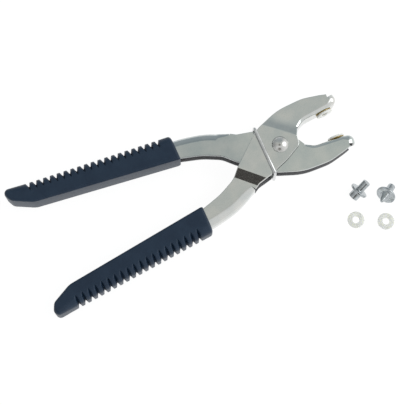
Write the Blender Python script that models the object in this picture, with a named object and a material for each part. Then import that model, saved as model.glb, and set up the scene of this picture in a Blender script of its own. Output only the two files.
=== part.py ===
"""Hand riveter: snap-fastener setting pliers, with two loose dies and two loose rings.

Row frame: the tool lies on its back, +Z up. The pivot axis is the Z axis, +X runs
towards the jaws and z = 0 is the surface that everything rests on. All driving
dimensions are in millimetres and are turned into metres when a mesh is made.
"""

import math

import bmesh
import bpy
from mathutils import Matrix, Vector

MM = 0.001

# Sheet-steel levers. The inner lever nests between the cheeks of the outer one.
SHEET = 1.2
OUTER_WIDTH = 12.6
CHEEK_GAP = 0.6
INNER_WIDTH = OUTER_WIDTH - 2 * (SHEET + CHEEK_GAP)

# The outer lever's cheeks step inwards at its jaw and its handle, between two creases:
# the step, then for each side the creases' normal and their distances from the pivot.
CHEEK_STEP = 0.9
STEPPED_WIDTH = OUTER_WIDTH - 2 * CHEEK_STEP
CREASES = [
    (math.radians(49.5), 7.0, 11.6),
    (math.radians(226.0), 18.3, 23.9),
]

# Pivot rivet, along Z.
RIVET_SHANK_R = 2.5
RIVET_HOLE_R = 2.8
DOME_R = 4.15
DOME_HEIGHT = 2.1
TAIL_R = 3.6
TAIL_HEIGHT = 1.3
WASHER_R = 4.6
WASHER_THICK = 0.7
FACE_GAP = 0.1
SPACER_R = 4.0
MID_Z = TAIL_HEIGHT + WASHER_THICK + 2 * FACE_GAP + OUTER_WIDTH / 2

# Return spring: a closed loop of wire in a plane across the waist.
WIRE_R = 0.85
LOOP_X = -8.5
LOOP_HALF_Y = 12.5
LOOP_BEND_R = 1.25
LOOP_HALF_Z = OUTER_WIDTH / 2 + 0.3 + WIRE_R
WIRE_NOTCH_R = WIRE_R + 0.35

# Bend radii of the sheet along the handle, the jaw and the end of the jaw's tip wall.
HANDLE_FOLD = 3.4
JAW_FOLD = 2.0
TIP_FOLD = 0.8

# Die seats on the jaws: a brass socket through the web and a soft ring on it.
SEAT_X = 28.0
SOCKET_BORE_R = 2.1
SOCKET_BARREL_R = 2.45
SOCKET_HOLE_R = 2.75
SOCKET_FLANGE_R = 4.1
SOCKET_FLANGE_THICK = 0.3
SOCKET_REACH = 1.0
RING_R = 4.25
RING_HOLE_R = 1.7
RING_THICK = 0.95

# Grip sleeves.
GRIP_HALF_THICK = 7.4
GRIP_CLEARANCE = 0.3
TANG_FULL_X = -121.8
ROOM_END_X = -124.7
GRIP_MOUTH_X = -48.3
GROOVES = 20
GROOVE_PITCH = 3.54
FIRST_GROOVE_X = -55.6
GROOVE_EDGE = 0.38
GROOVE_FLOOR = 0.12
GROOVE_DEPTH_MIDDLE = 1.5
GROOVE_DEPTH_SIDE = 5.0

# Loose dies: radii and lengths along their own axes.
DIE_FLANGE_THICK = 1.2
PIN_FLANGE_R = 4.75
PIN_HEAD_R = 2.6
PIN_HEAD_LENGTH = 4.0
PIN_STEM_R = 2.0
PIN_STEM_LENGTH = 5.5
CONE_FLANGE_R = 5.0
CONE_BASE_R = 2.7
CONE_TIP_R = 0.6
CONE_LENGTH = 4.9
CONE_STEM_R = 1.95
CONE_STEM_LENGTH = 6.3

# Where the loose pieces lie, and the way the two dies point.
PIN_DIE_AT = (27.3, -35.9)
PIN_DIE_HEADING = math.radians(20)
CONE_DIE_AT = (39.7, -42.9)
CONE_DIE_HEADING = math.radians(212)
RING_A_AT = (20.8, -48.1)
RING_B_AT = (34.3, -54.9)

# One lever seen from the front, jaw at +Y and handle at -Y, counter-clockwise.
# Each corner is x, y, corner radius, radius of the sheet's bend there (0 = open edge).
LEVER_CORNERS = [
    (36.0, 8.9, 2.4, JAW_FOLD),
    (35.4, 12.4, 0.0, JAW_FOLD),
    (35.1, 13.6, 0.0, TIP_FOLD),
    (34.8, 13.95, 0.0, 0.0),
    (28.8, 15.6, 9.0, 0.0),
    (20.0, 17.5, 22.0, 0.0),
    (5.6, 16.9, 30.0, 0.0),
    (-6.3, 12.3, 3.0, 0.0),
    (-9.8, 10.1, 0.8, 0.0),
    (-23.8, -1.6, 2.5, 0.0),
    (-28.7, -6.7, 12.0, 0.0),
    (-37.7, -11.1, 30.0, 0.0),
    (-48.2, -14.1, 8.0, 0.0),
    (-121.0, -23.8, 0.0, 0.0),
    (-124.0, -25.0, 0.0, 0.0),
    (-124.2, -26.6, 0.0, 0.0),
    (TANG_FULL_X, -30.6, 0.0, HANDLE_FOLD),
    (-57.1, -25.0, 12.0, HANDLE_FOLD),
    (-45.1, -24.2, 12.0, HANDLE_FOLD),
    (-31.5, -21.4, 20.0, HANDLE_FOLD),
    (-21.0, -16.0, 0.0, HANDLE_FOLD),
    (-20.4, -15.7, 0.0, 0.0),
    (-17.6, -14.0, 4.0, 0.0),
    (-9.9, -12.2, 1.0, 0.0),
    (-5.5, -10.4, 2.0, 0.0),
    (0.0, -8.5, 20.0, 0.0),
    (9.1, -3.8, 3.0, 0.0),
    (9.8, 0.9, 4.0, 0.0),
    (11.6, 4.2, 0.0, 0.0),
    (11.9, 4.5, 0.0, JAW_FOLD),
    (16.4, 7.0, 8.0, JAW_FOLD),
    (32.5, 8.1, 3.0, JAW_FOLD),
]
CORNER_STEPS = 3

# One grip seen from the front, for the handle at -Y: x, y, corner radius and, as the
# grips have no bends, a zero.
GRIP_CORNERS = [
    (GRIP_MOUTH_X, -13.1, 0.0, 0.0),
    (-123.6, -22.5, 10.0, 0.0),
    (-133.7, -27.7, 3.5, 0.0),
    (-137.5, -34.8, 2.6, 0.0),
    (GRIP_MOUTH_X, -26.8, 0.0, 0.0),
]
GRIP_INNER_CORNER = 1.2
GRIP_PALM_CORNER = 4.2
TAIL_ROUND = 2.4


def clear_scene():
    for item in list(bpy.data.objects):
        bpy.data.objects.remove(item, do_unlink=True)


def make_material(name, color, roughness, metallic):
    material = bpy.data.materials.new(name)
    material.use_nodes = True
    shader = material.node_tree.nodes["Principled BSDF"]
    shader.inputs["Base Color"].default_value = (*color, 1.0)
    shader.inputs["Roughness"].default_value = roughness
    shader.inputs["Metallic"].default_value = metallic
    material.diffuse_color = (*color, 1.0)
    return material


def object_from_bmesh(name, mesh_data, smooth_angle=math.radians(35)):
    """Turn a bmesh in millimetres into an object in metres, shaded smooth by angle."""
    bmesh.ops.recalc_face_normals(mesh_data, faces=mesh_data.faces)
    bmesh.ops.scale(mesh_data, vec=(MM, MM, MM), verts=mesh_data.verts)
    for face in mesh_data.faces:
        face.smooth = True
    for edge in mesh_data.edges:
        if len(edge.link_faces) == 2:
            edge.smooth = edge.calc_face_angle() < smooth_angle
    mesh = bpy.data.meshes.new(name)
    mesh_data.to_mesh(mesh)
    mesh_data.free()
    item = bpy.data.objects.new(name, mesh)
    bpy.context.scene.collection.objects.link(item)
    return item


def add_faces(mesh_data, loops):
    """Add faces, leaving out repeated neighbours and faces that shrink to a line."""
    for loop in loops:
        kept = [v for i, v in enumerate(loop) if v is not loop[i - 1]]
        if len(kept) >= 3:
            mesh_data.faces.new(kept)


def lathe(profile, segments):
    """A closed turned body about Z from a profile of (radius, height) points."""
    mesh_data = bmesh.new()
    rings = []
    for radius, height in profile:
        if radius == 0.0:
            rings.append([mesh_data.verts.new((0, 0, height))] * segments)
            continue
        ring = []
        for i in range(segments):
            angle = 2 * math.pi * i / segments
            ring.append(mesh_data.verts.new((radius * math.cos(angle), radius * math.sin(angle), height)))
        rings.append(ring)
    pairs = list(zip(rings, rings[1:]))
    if profile[0][0] > 0.0:
        pairs.append((rings[-1], rings[0]))
    for low, high in pairs:
        for i in range(segments):
            j = (i + 1) % segments
            add_faces(mesh_data, [[low[i], low[j], high[j], high[i]]])
    return mesh_data


def rounded_outline(corners, steps):
    """Points of an outline with filleted corners, each with its corner's last value."""
    outline = []
    count = len(corners)
    for i, (x, y, radius, value) in enumerate(corners):
        here = Vector((x, y))
        before = (Vector(corners[i - 1][:2]) - here).normalized()
        after = (Vector(corners[(i + 1) % count][:2]) - here).normalized()
        turn = before.angle(after)
        if radius == 0.0 or turn > math.radians(179):
            outline.append((here, value))
            continue
        setback = radius / math.tan(turn / 2)
        start = here + before * setback
        end = here + after * setback
        centre = here + (before + after).normalized() * (radius / math.sin(turn / 2))
        first = start - centre
        sweep = first.angle_signed(end - centre)
        for k in range(steps + 1):
            spoke = first.copy()
            spoke.rotate(Matrix.Rotation(-sweep * k / steps, 2))
            outline.append((centre + spoke, value))
    return outline


def inward_normals(points):
    """Mitred normals pointing into a counter-clockwise outline."""
    normals = []
    count = len(points)
    for i in range(count):
        back = (points[i] - points[i - 1]).normalized()
        ahead = (points[(i + 1) % count] - points[i]).normalized()
        across = Vector((-back.y - ahead.y, back.x + ahead.x)).normalized()
        normals.append(across / max(0.5, across.dot(Vector((-ahead.y, ahead.x)))))
    return normals


def folded_prism(outline, half_width, fold_steps=3):
    """An outline extruded both ways in Z, its rim rounded by each point's bend radius."""
    points = [point for point, fold in outline]
    normals = inward_normals(points)
    mesh_data = bmesh.new()
    rows = []
    for (point, fold), normal in zip(outline, normals):
        row = []
        for side in (1, -1):
            steps = range(fold_steps + 1) if side > 0 else reversed(range(fold_steps + 1))
            for k in steps:
                if fold == 0.0 and k > 0:
                    continue
                angle = math.radians(90) * k / fold_steps
                place = point + normal * fold * (1 - math.sin(angle))
                height = half_width - fold * (1 - math.cos(angle))
                row.append(mesh_data.verts.new((place.x, place.y, side * height)))
        if fold == 0.0:
            row = [row[0]] * (fold_steps + 1) + [row[1]] * (fold_steps + 1)
        rows.append(row)
    levels = len(rows[0])
    for i, row in enumerate(rows):
        ahead = rows[(i + 1) % len(rows)]
        for k in range(levels - 1):
            add_faces(mesh_data, [[row[k], row[k + 1], ahead[k + 1], ahead[k]]])
    add_faces(mesh_data, [[row[0] for row in rows], [row[-1] for row in reversed(rows)]])
    return mesh_data


def channel_cavity(outline, beyond):
    """The outline of a lever's hollow: a sheet inside each web, past each open edge."""
    points = [point for point, fold in outline]
    hollow = []
    for (point, fold), normal in zip(outline, inward_normals(points)):
        if fold == 0.0:
            hollow.append((point - normal * beyond, 0.0))
        else:
            hollow.append((point + normal * SHEET, max(0.1, fold - SHEET)))
    return hollow


def cut(target, cutter_mesh, name):
    """Cut a body out of an object and keep the plain result."""
    cutter = object_from_bmesh(name, cutter_mesh)
    cutter.hide_render = True
    cutter.display_type = "WIRE"
    boolean = target.modifiers.new(name, "BOOLEAN")
    boolean.operation = "DIFFERENCE"
    boolean.solver = "EXACT"
    boolean.object = cutter
    apply_modifiers(target)
    bpy.data.objects.remove(cutter, do_unlink=True)


def apply_modifiers(item):
    """Replace an object's mesh with its evaluated, cleaned and triangulated mesh."""
    graph = bpy.context.evaluated_depsgraph_get()
    mesh_data = bmesh.new()
    mesh_data.from_mesh(item.evaluated_get(graph).to_mesh())
    item.modifiers.clear()
    bmesh.ops.remove_doubles(mesh_data, verts=mesh_data.verts, dist=0.005 * MM)
    bmesh.ops.dissolve_degenerate(mesh_data, edges=mesh_data.edges, dist=0.005 * MM)
    bmesh.ops.triangulate(mesh_data, faces=mesh_data.faces, ngon_method="EAR_CLIP")
    for edge in mesh_data.edges:
        if len(edge.link_faces) == 2:
            edge.smooth = edge.calc_face_angle() < math.radians(35)
    mesh_data.to_mesh(item.data)
    mesh_data.free()


def step_cheeks(lever, half_width):
    """Press the cheeks inwards beyond the creases; the web's flat narrows with them."""
    mesh_data = bmesh.new()
    mesh_data.from_mesh(lever.data)
    web_half = (half_width - HANDLE_FOLD) * MM
    for angle, near, far in CREASES:
        away = Vector((math.cos(angle), math.sin(angle), 0.0))
        for distance in (near, far):
            parts = mesh_data.verts[:] + mesh_data.edges[:] + mesh_data.faces[:]
            bmesh.ops.bisect_plane(mesh_data, geom=parts, plane_co=away * distance * MM, plane_no=away)
        for vert in mesh_data.verts:
            beyond = (vert.co.dot(away) / MM - near) / (far - near)
            step = CHEEK_STEP * MM * max(0.0, min(1.0, beyond)) * min(1.0, abs(vert.co.z) / web_half)
            vert.co.z -= math.copysign(step, vert.co.z)
    mesh_data.to_mesh(lever.data)
    mesh_data.free()


def seat_transform(side):
    """Where a jaw's die seat is: on the biting face, local +Z out of the web."""
    (x0, y0), (x1, y1) = LEVER_CORNERS[-2][:2], LEVER_CORNERS[-1][:2]
    slope = math.atan2(y1 - y0, x1 - x0)
    height = y0 + (SEAT_X - x0) * math.tan(slope)
    turn = Matrix.Rotation(slope, 4, "Z") @ Matrix.Rotation(math.radians(90), 4, "X")
    upper = Matrix.Translation((SEAT_X, height, MID_Z)) @ turn
    if side > 0:
        return upper
    return Matrix.Scale(-1, 4, (0, 1, 0)) @ upper @ Matrix.Scale(-1, 4, (1, 0, 0))


def make_lever(name, width, side, material):
    """A U-channel lever. side +1 has its jaw at +Y and its handle at -Y."""
    outline = rounded_outline(LEVER_CORNERS, CORNER_STEPS)
    lever = object_from_bmesh(name, folded_prism(outline, width / 2))
    hollow = folded_prism(channel_cavity(outline, 1.5), width / 2 - SHEET)
    cut(lever, hollow, name + "_hollow")
    if side > 0:
        step_cheeks(lever, width / 2)
    hole = lathe([(0.0, -9.0), (RIVET_HOLE_R, -9.0), (RIVET_HOLE_R, 9.0), (0.0, 9.0)], 40)
    cut(lever, hole, name + "_pivot_hole")
    notch = lathe([(0.0, -9.0), (WIRE_NOTCH_R, -9.0), (WIRE_NOTCH_R, 9.0), (0.0, 9.0)], 24)
    bmesh.ops.translate(notch, vec=(LOOP_X, -LOOP_HALF_Y, 0.0), verts=notch.verts)
    cut(lever, notch, name + "_wire_notch")
    hole = lathe([(0.0, -3.0), (SOCKET_HOLE_R, -3.0), (SOCKET_HOLE_R, 3.0), (0.0, 3.0)], 28)
    seat = Matrix.Translation((0, 0, -MID_Z)) @ seat_transform(1)
    bmesh.ops.transform(hole, matrix=seat, verts=hole.verts)
    cut(lever, hole, name + "_socket_hole")
    place = Matrix.Translation((0, 0, MID_Z * MM))
    if side < 0:
        place = place @ Matrix.Rotation(math.pi, 4, "X")
    lever.data.transform(place)
    lever.data.materials.append(material)
    return lever


def make_pivot_rivet(material):
    head_z = MID_Z + OUTER_WIDTH / 2 + FACE_GAP
    bulge = (DOME_R ** 2 + DOME_HEIGHT ** 2) / (2 * DOME_HEIGHT)
    profile = [(0.0, 0.0), (TAIL_R - 0.4, 0.0), (TAIL_R, 0.4), (TAIL_R, TAIL_HEIGHT)]
    profile += [(RIVET_SHANK_R, TAIL_HEIGHT), (RIVET_SHANK_R, head_z), (DOME_R, head_z)]
    opening = math.asin(DOME_R / bulge)
    for k in range(1, 6):
        angle = opening * (1 - k / 6)
        profile.append((bulge * math.sin(angle), head_z + DOME_HEIGHT - bulge * (1 - math.cos(angle))))
    profile.append((0.0, head_z + DOME_HEIGHT))
    rivet = object_from_bmesh("pivot_rivet", lathe(profile, 32))
    rivet.data.materials.append(material)
    return rivet


def tube_profile(inner, outer, low, high):
    return [(inner, low), (outer, low), (outer, high), (inner, high)]


def make_rivet_washer(material):
    low = TAIL_HEIGHT + FACE_GAP
    profile = tube_profile(RIVET_HOLE_R, WASHER_R, low, low + WASHER_THICK)
    washer = object_from_bmesh("rivet_washer", lathe(profile, 32))
    washer.data.materials.append(material)
    return washer


def make_pivot_spacer(material):
    half = INNER_WIDTH / 2 - SHEET - FACE_GAP
    profile = tube_profile(RIVET_HOLE_R, SPACER_R, MID_Z - half, MID_Z + half)
    spacer = object_from_bmesh("pivot_spacer", lathe(profile, 32))
    spacer.data.materials.append(material)
    return spacer


def make_return_spring(material):
    """Round wire swept along a rounded rectangle in the YZ plane."""
    corner_y = LOOP_HALF_Y - LOOP_BEND_R
    corner_z = LOOP_HALF_Z - LOOP_BEND_R
    stations = []
    for quarter in range(4):
        sign_y = 1 if quarter in (0, 3) else -1
        sign_z = 1 if quarter < 2 else -1
        for k in range(6):
            angle = math.radians(90) * (quarter + k / 5)
            outward = Vector((0, math.cos(angle), math.sin(angle)))
            centre = Vector((LOOP_X, sign_y * corner_y, MID_Z + sign_z * corner_z))
            stations.append((centre + outward * LOOP_BEND_R, outward))
    mesh_data = bmesh.new()
    rings = []
    for centre, outward in stations:
        ring = []
        for i in range(12):
            angle = 2 * math.pi * i / 12
            spoke = outward * math.cos(angle) + Vector((1, 0, 0)) * math.sin(angle)
            ring.append(mesh_data.verts.new(centre + spoke * WIRE_R))
        rings.append(ring)
    for i, ring in enumerate(rings):
        ahead = rings[(i + 1) % len(rings)]
        for k in range(12):
            j = (k + 1) % 12
            mesh_data.faces.new((ring[k], ring[j], ahead[j], ahead[k]))
    spring = object_from_bmesh("return_spring", mesh_data)
    spring.data.materials.append(material)
    return spring


def groove_weight(x):
    """How deep a groove is at x, from 0 on a rib's crest to 1 at a groove's floor."""
    place = (FIRST_GROOVE_X - x) / GROOVE_PITCH
    nearest = min(max(round(place), 0), GROOVES - 1)
    distance = abs(place - nearest)
    return max(0.0, min(1.0, (GROOVE_EDGE - distance) / (GROOVE_EDGE - GROOVE_FLOOR)))


def grip_stations(tail_x):
    """Places along the grip where its section changes."""
    stations = [GRIP_MOUTH_X, GRIP_MOUTH_X - 0.6]
    for i in range(GROOVES):
        middle = FIRST_GROOVE_X - i * GROOVE_PITCH
        for part in (GROOVE_EDGE, GROOVE_FLOOR, -GROOVE_FLOOR, -GROOVE_EDGE):
            stations.append(middle + part * GROOVE_PITCH)
    stations += [-128.0, -131.0]
    for k in range(7):
        stations.append(tail_x + TAIL_ROUND * (1 - math.sin(math.radians(13) * k)))
    return stations


def outline_span(points, x):
    """The lowest and highest y of an outline at x."""
    crossings = []
    for start, end in zip(points, points[1:] + points[:1]):
        if (start.x - x) * (end.x - x) <= 0.0 and start.x != end.x:
            crossings.append(start.y + (end.y - start.y) * (x - start.x) / (end.x - start.x))
    return min(crossings), max(crossings)


def grip_section(palm, inner, half, soft_palm, soft_inner, weight):
    """Section points (y, z) of a grip, in order round the section, grooved by weight."""
    fractions = (-1.0, -0.97, -0.9, -0.78, -0.6, -0.4, 0.0, 0.4, 0.6, 0.78, 0.9, 0.97, 1.0)
    palm_side = []
    for fraction in fractions:
        z = fraction * half
        into_corner = max(0.0, abs(z) - (half - soft_palm))
        crest = palm + soft_palm - math.sqrt(max(0.0, soft_palm ** 2 - into_corner ** 2))
        sag = (GROOVE_DEPTH_SIDE - GROOVE_DEPTH_MIDDLE) * fraction ** 2
        floor = palm + GROOVE_DEPTH_MIDDLE + sag
        palm_side.append((crest + weight * max(0.0, floor - crest), z))
    edge = palm_side[0][0]
    points = list(palm_side)
    for part in (0.35, 0.7):
        points.append((edge + part * (inner - soft_inner - edge), half))
    for k in range(5):
        angle = math.radians(22.5) * k
        y = inner - soft_inner * (1 - math.sin(angle))
        points.append((y, half - soft_inner * (1 - math.cos(angle))))
    mirrored = [(y, -z) for y, z in reversed(points[len(fractions):])]
    return points + mirrored


def grip_outer_rings(mesh_data):
    """Rings of the sleeve's skin, from its mouth to its tail."""
    outline = [point for point, unused in rounded_outline(GRIP_CORNERS, 8)]
    tail_x = min(point.x for point in outline)
    rings = []
    for x in grip_stations(tail_x):
        into_tail = max(0.0, TAIL_ROUND - (x - tail_x))
        half = GRIP_HALF_THICK - TAIL_ROUND + math.sqrt(TAIL_ROUND ** 2 - into_tail ** 2)
        palm, inner = outline_span(outline, x)
        if x == GRIP_MOUTH_X:
            palm, inner, half = palm + 0.3, inner - 0.2, half - 0.2
        soft_palm = min(GRIP_PALM_CORNER, 0.4 * (inner - palm))
        soft_inner = min(GRIP_INNER_CORNER, 0.4 * (inner - palm))
        section = grip_section(palm, inner, half, soft_palm, soft_inner, groove_weight(x))
        rings.append([mesh_data.verts.new((x, y, z)) for y, z in section])
    return rings


def grip_room_rings(mesh_data, lever_width):
    """Rings of the hollow that takes the lever's tang, from its blind end to the mouth."""
    outline = [point for point, fold in rounded_outline(LEVER_CORNERS, CORNER_STEPS)]
    half = lever_width / 2 + GRIP_CLEARANCE
    rings = []
    for x in (ROOM_END_X, TANG_FULL_X, -90.0, -61.0, -57.0, -54.0, -51.0, GRIP_MOUTH_X):
        palm, inner = outline_span(outline, max(x, TANG_FULL_X + 0.1))
        palm -= GRIP_CLEARANCE
        inner += GRIP_CLEARANCE
        section = grip_section(palm, inner, half, HANDLE_FOLD, 0.1, 0.0)
        rings.append([mesh_data.verts.new((x, y, z)) for y, z in section])
    return rings


def make_grip(name, lever_width, side, material):
    """A sleeve with ribs on its palm side, hollow for the lever's tang."""
    mesh_data = bmesh.new()
    rings = grip_room_rings(mesh_data, lever_width) + grip_outer_rings(mesh_data)
    for ring, ahead in zip(rings, rings[1:]):
        for i in range(len(ring)):
            j = (i + 1) % len(ring)
            mesh_data.faces.new((ring[i], ring[j], ahead[j], ahead[i]))
    mesh_data.faces.new(reversed(rings[0]))
    mesh_data.faces.new(rings[-1])
    grip = object_from_bmesh(name, mesh_data)
    place = Matrix.Translation((0, 0, MID_Z * MM))
    if side < 0:
        place = place @ Matrix.Rotation(math.pi, 4, "X")
    grip.data.transform(place)
    grip.data.materials.append(material)
    return grip


def make_die_socket(name, side, material):
    inner_end = -SHEET - SOCKET_REACH
    low = FACE_GAP
    high = FACE_GAP + SOCKET_FLANGE_THICK
    profile = [(SOCKET_BORE_R, inner_end), (SOCKET_BARREL_R, inner_end), (SOCKET_BARREL_R, low)]
    profile += [(SOCKET_FLANGE_R, low), (SOCKET_FLANGE_R, high), (SOCKET_BORE_R, high)]
    mesh_data = lathe(profile, 28)
    bmesh.ops.transform(mesh_data, matrix=seat_transform(side), verts=mesh_data.verts)
    socket = object_from_bmesh(name, mesh_data)
    socket.data.materials.append(material)
    return socket


def ring_profile(low):
    """A flat ring with softened edges."""
    high = low + RING_THICK
    soft = 0.3
    profile = [(RING_HOLE_R, low + soft), (RING_HOLE_R + soft, low), (RING_R - soft, low)]
    profile += [(RING_R, low + soft), (RING_R, high - soft), (RING_R - soft, high)]
    profile += [(RING_HOLE_R + soft, high), (RING_HOLE_R, high - soft)]
    return profile


def make_seat_ring(name, side, material):
    mesh_data = lathe(ring_profile(2 * FACE_GAP + SOCKET_FLANGE_THICK), 32)
    bmesh.ops.transform(mesh_data, matrix=seat_transform(side), verts=mesh_data.verts)
    ring = object_from_bmesh(name, mesh_data)
    ring.data.materials.append(material)
    return ring


def make_loose_ring(name, place, material):
    ring = object_from_bmesh(name, lathe(ring_profile(0.0), 32))
    ring.location = (place[0] * MM, place[1] * MM, 0.0)
    ring.data.materials.append(material)
    return ring


def lying_on_flange(lean, heading, flange_radius, place):
    """Where a turned body lies on its flange's rim: local +Z along heading, raised by lean."""
    centre = Vector((*place, flange_radius * math.cos(lean))) * MM
    turn = Matrix.Rotation(heading, 4, "Z")
    tilt = Matrix.Rotation(math.radians(90) - lean, 4, "Y")
    return Matrix.Translation(centre) @ turn @ tilt


def make_pin_die(material):
    """Cylindrical head, flange and stem. It rests on the head's end and the flange."""
    flange_top = DIE_FLANGE_THICK
    stem_top = flange_top + PIN_STEM_LENGTH
    profile = [(0.0, -PIN_HEAD_LENGTH), (PIN_HEAD_R, -PIN_HEAD_LENGTH), (PIN_HEAD_R, -0.6)]
    profile += [(PIN_HEAD_R + 0.6, -0.5), (PIN_HEAD_R + 0.6, 0.0), (PIN_FLANGE_R, 0.0)]
    profile += [(PIN_FLANGE_R, flange_top), (PIN_STEM_R, flange_top)]
    profile += [(PIN_STEM_R, stem_top - 0.3), (PIN_STEM_R - 0.3, stem_top)]
    profile += [(PIN_STEM_R - 0.7, stem_top), (0.0, stem_top - 0.7)]
    die = object_from_bmesh("pin_die", lathe(profile, 36))
    lean = math.atan((PIN_FLANGE_R - PIN_HEAD_R) / PIN_HEAD_LENGTH)
    die.matrix_world = lying_on_flange(lean, PIN_DIE_HEADING, PIN_FLANGE_R, PIN_DIE_AT)
    die.data.materials.append(material)
    return die


def make_cone_die(material):
    """Conical head, flange and stem. It rests on the stem's end and the flange."""
    top = DIE_FLANGE_THICK
    profile = [(0.0, -CONE_STEM_LENGTH), (CONE_STEM_R, -CONE_STEM_LENGTH), (CONE_STEM_R, 0.0)]
    profile += [(CONE_FLANGE_R, 0.0), (CONE_FLANGE_R, top), (CONE_BASE_R, top)]
    profile += [(CONE_TIP_R + 0.15, top + CONE_LENGTH - 0.35), (CONE_TIP_R - 0.2, top + CONE_LENGTH)]
    profile += [(0.0, top + CONE_LENGTH)]
    die = object_from_bmesh("cone_die", lathe(profile, 36))
    lean = math.atan((CONE_FLANGE_R - CONE_STEM_R) / CONE_STEM_LENGTH)
    die.matrix_world = lying_on_flange(lean, CONE_DIE_HEADING, CONE_FLANGE_R, CONE_DIE_AT)
    die.data.materials.append(material)
    return die


def main():
    clear_scene()
    make_lever("outer_lever", OUTER_WIDTH, 1, make_material("outer_lever", (0.66, 0.66, 0.64), 0.22, 1.0))
    make_lever("inner_lever", INNER_WIDTH, -1, make_material("inner_lever", (0.63, 0.63, 0.61), 0.22, 1.0))
    make_pivot_rivet(make_material("pivot_rivet", (0.68, 0.67, 0.64), 0.2, 1.0))
    make_rivet_washer(make_material("rivet_washer", (0.6, 0.6, 0.58), 0.35, 1.0))
    make_pivot_spacer(make_material("pivot_spacer", (0.5, 0.5, 0.5), 0.4, 1.0))
    make_return_spring(make_material("return_spring", (0.62, 0.62, 0.6), 0.25, 1.0))
    make_grip("lower_grip", STEPPED_WIDTH, 1, make_material("lower_grip", (0.03, 0.05, 0.09), 0.45, 0.0))
    make_grip("upper_grip", INNER_WIDTH, -1, make_material("upper_grip", (0.03, 0.05, 0.09), 0.45, 0.0))
    for name, side in (("upper", 1), ("lower", -1)):
        brass = make_material(name + "_die_socket", (0.62, 0.48, 0.22), 0.35, 1.0)
        make_die_socket(name + "_die_socket", side, brass)
        soft = make_material(name + "_seat_ring", (0.8, 0.8, 0.76), 0.5, 0.0)
        make_seat_ring(name + "_seat_ring", side, soft)
    make_pin_die(make_material("pin_die", (0.45, 0.47, 0.48), 0.35, 1.0))
    make_cone_die(make_material("cone_die", (0.45, 0.47, 0.48), 0.35, 1.0))
    make_loose_ring("loose_ring_a", RING_A_AT, make_material("loose_ring_a", (0.8, 0.8, 0.76), 0.5, 0.0))
    make_loose_ring("loose_ring_b", RING_B_AT, make_material("loose_ring_b", (0.8, 0.8, 0.76), 0.5, 0.0))


main()
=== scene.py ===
"""Looks of the hand riveter: snap-fastener setting pliers with two loose dies and two rings.

The tool lies on its back. The pivot axis is the Z axis and +X runs towards the jaws.
Driving dimensions are in millimetres and become metres when a mesh is made. Heights
and widths come from the CAD nodes of model.glb.
"""

import math

import bmesh
import bpy
from mathutils import Matrix, Vector


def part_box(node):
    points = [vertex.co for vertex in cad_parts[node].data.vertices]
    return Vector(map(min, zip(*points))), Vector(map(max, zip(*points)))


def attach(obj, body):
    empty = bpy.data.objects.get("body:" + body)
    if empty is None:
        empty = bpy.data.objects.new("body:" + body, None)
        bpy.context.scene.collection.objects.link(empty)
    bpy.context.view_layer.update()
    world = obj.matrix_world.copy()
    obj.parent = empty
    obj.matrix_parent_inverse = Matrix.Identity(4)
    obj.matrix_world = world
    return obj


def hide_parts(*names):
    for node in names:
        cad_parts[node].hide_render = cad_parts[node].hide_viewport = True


MM = 0.001

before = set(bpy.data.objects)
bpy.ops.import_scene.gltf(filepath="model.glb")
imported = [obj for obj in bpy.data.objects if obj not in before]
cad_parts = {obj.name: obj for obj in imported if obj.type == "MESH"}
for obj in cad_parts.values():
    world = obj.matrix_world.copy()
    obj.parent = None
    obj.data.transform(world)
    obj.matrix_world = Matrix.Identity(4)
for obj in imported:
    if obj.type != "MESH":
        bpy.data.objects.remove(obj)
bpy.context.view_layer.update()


def span(node, axis):
    """Lowest and highest coordinate of a CAD node along an axis, in millimetres."""
    low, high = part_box(node)
    return low[axis] / MM, high[axis] / MM


OUTER_LOW, OUTER_HIGH = span("outer_lever", 2)
INNER_LOW, INNER_HIGH = span("inner_lever", 2)
OUTER_WIDTH = OUTER_HIGH - OUTER_LOW
INNER_WIDTH = INNER_HIGH - INNER_LOW
MID_Z = (OUTER_LOW + OUTER_HIGH) / 2

# Pressed levers: sheet and bend radii, then one lever's outline seen from the front,
# jaw at +Y and handle at -Y, counter-clockwise. Each corner is x, y, corner radius and
# radius of the sheet's bend there (0 = open edge).
SHEET = 1.2
HANDLE_FOLD = 4.2
JAW_FOLD = 2.2
TIP_FOLD = 3.4
THROAT_FOLD = 1.2
LEVER_CORNERS = [
    (36.0, 8.8, 3.3, 3.2),
    (35.6, 12.4, 0.0, TIP_FOLD),
    (35.3, 13.7, 0.0, TIP_FOLD),
    (32.2, 14.6, 0.0, 0.0),
    (28.8, 15.6, 9.0, 0.0),
    (20.0, 17.5, 22.0, 0.0),
    (5.6, 16.9, 30.0, 0.0),
    (-6.3, 12.3, 3.0, 0.0),
    (-9.8, 10.1, 0.8, 0.0),
    (-23.8, -1.6, 2.5, 0.0),
    (-28.7, -6.7, 12.0, 0.0),
    (-37.7, -11.1, 30.0, 0.0),
    (-48.2, -14.1, 8.0, 0.0),
    (-121.0, -23.8, 0.0, 0.0),
    (-124.0, -25.0, 0.0, 0.0),
    (-124.2, -26.6, 0.0, 0.0),
    (-121.8, -30.6, 0.0, HANDLE_FOLD),
    (-57.1, -25.0, 12.0, HANDLE_FOLD),
    (-45.1, -24.2, 60.0, HANDLE_FOLD),
    (-31.5, -21.4, 40.0, HANDLE_FOLD),
    (-20.3, -15.65, 0.0, 0.0),
    (-17.6, -14.0, 4.0, 0.0),
    (-9.9, -12.2, 1.0, 0.0),
    (-5.5, -10.4, 2.0, 0.0),
    (0.0, -8.5, 20.0, 0.0),
    (9.1, -3.8, 3.0, 0.0),
    (9.8, 0.9, 4.0, 0.0),
    (11.6, 4.2, 0.0, 0.0),
    (11.9, 4.5, 0.0, THROAT_FOLD),
    (16.4, 7.0, 8.0, 1.8),
    (30.5, 7.95, 0.0, JAW_FOLD),
]

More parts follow.
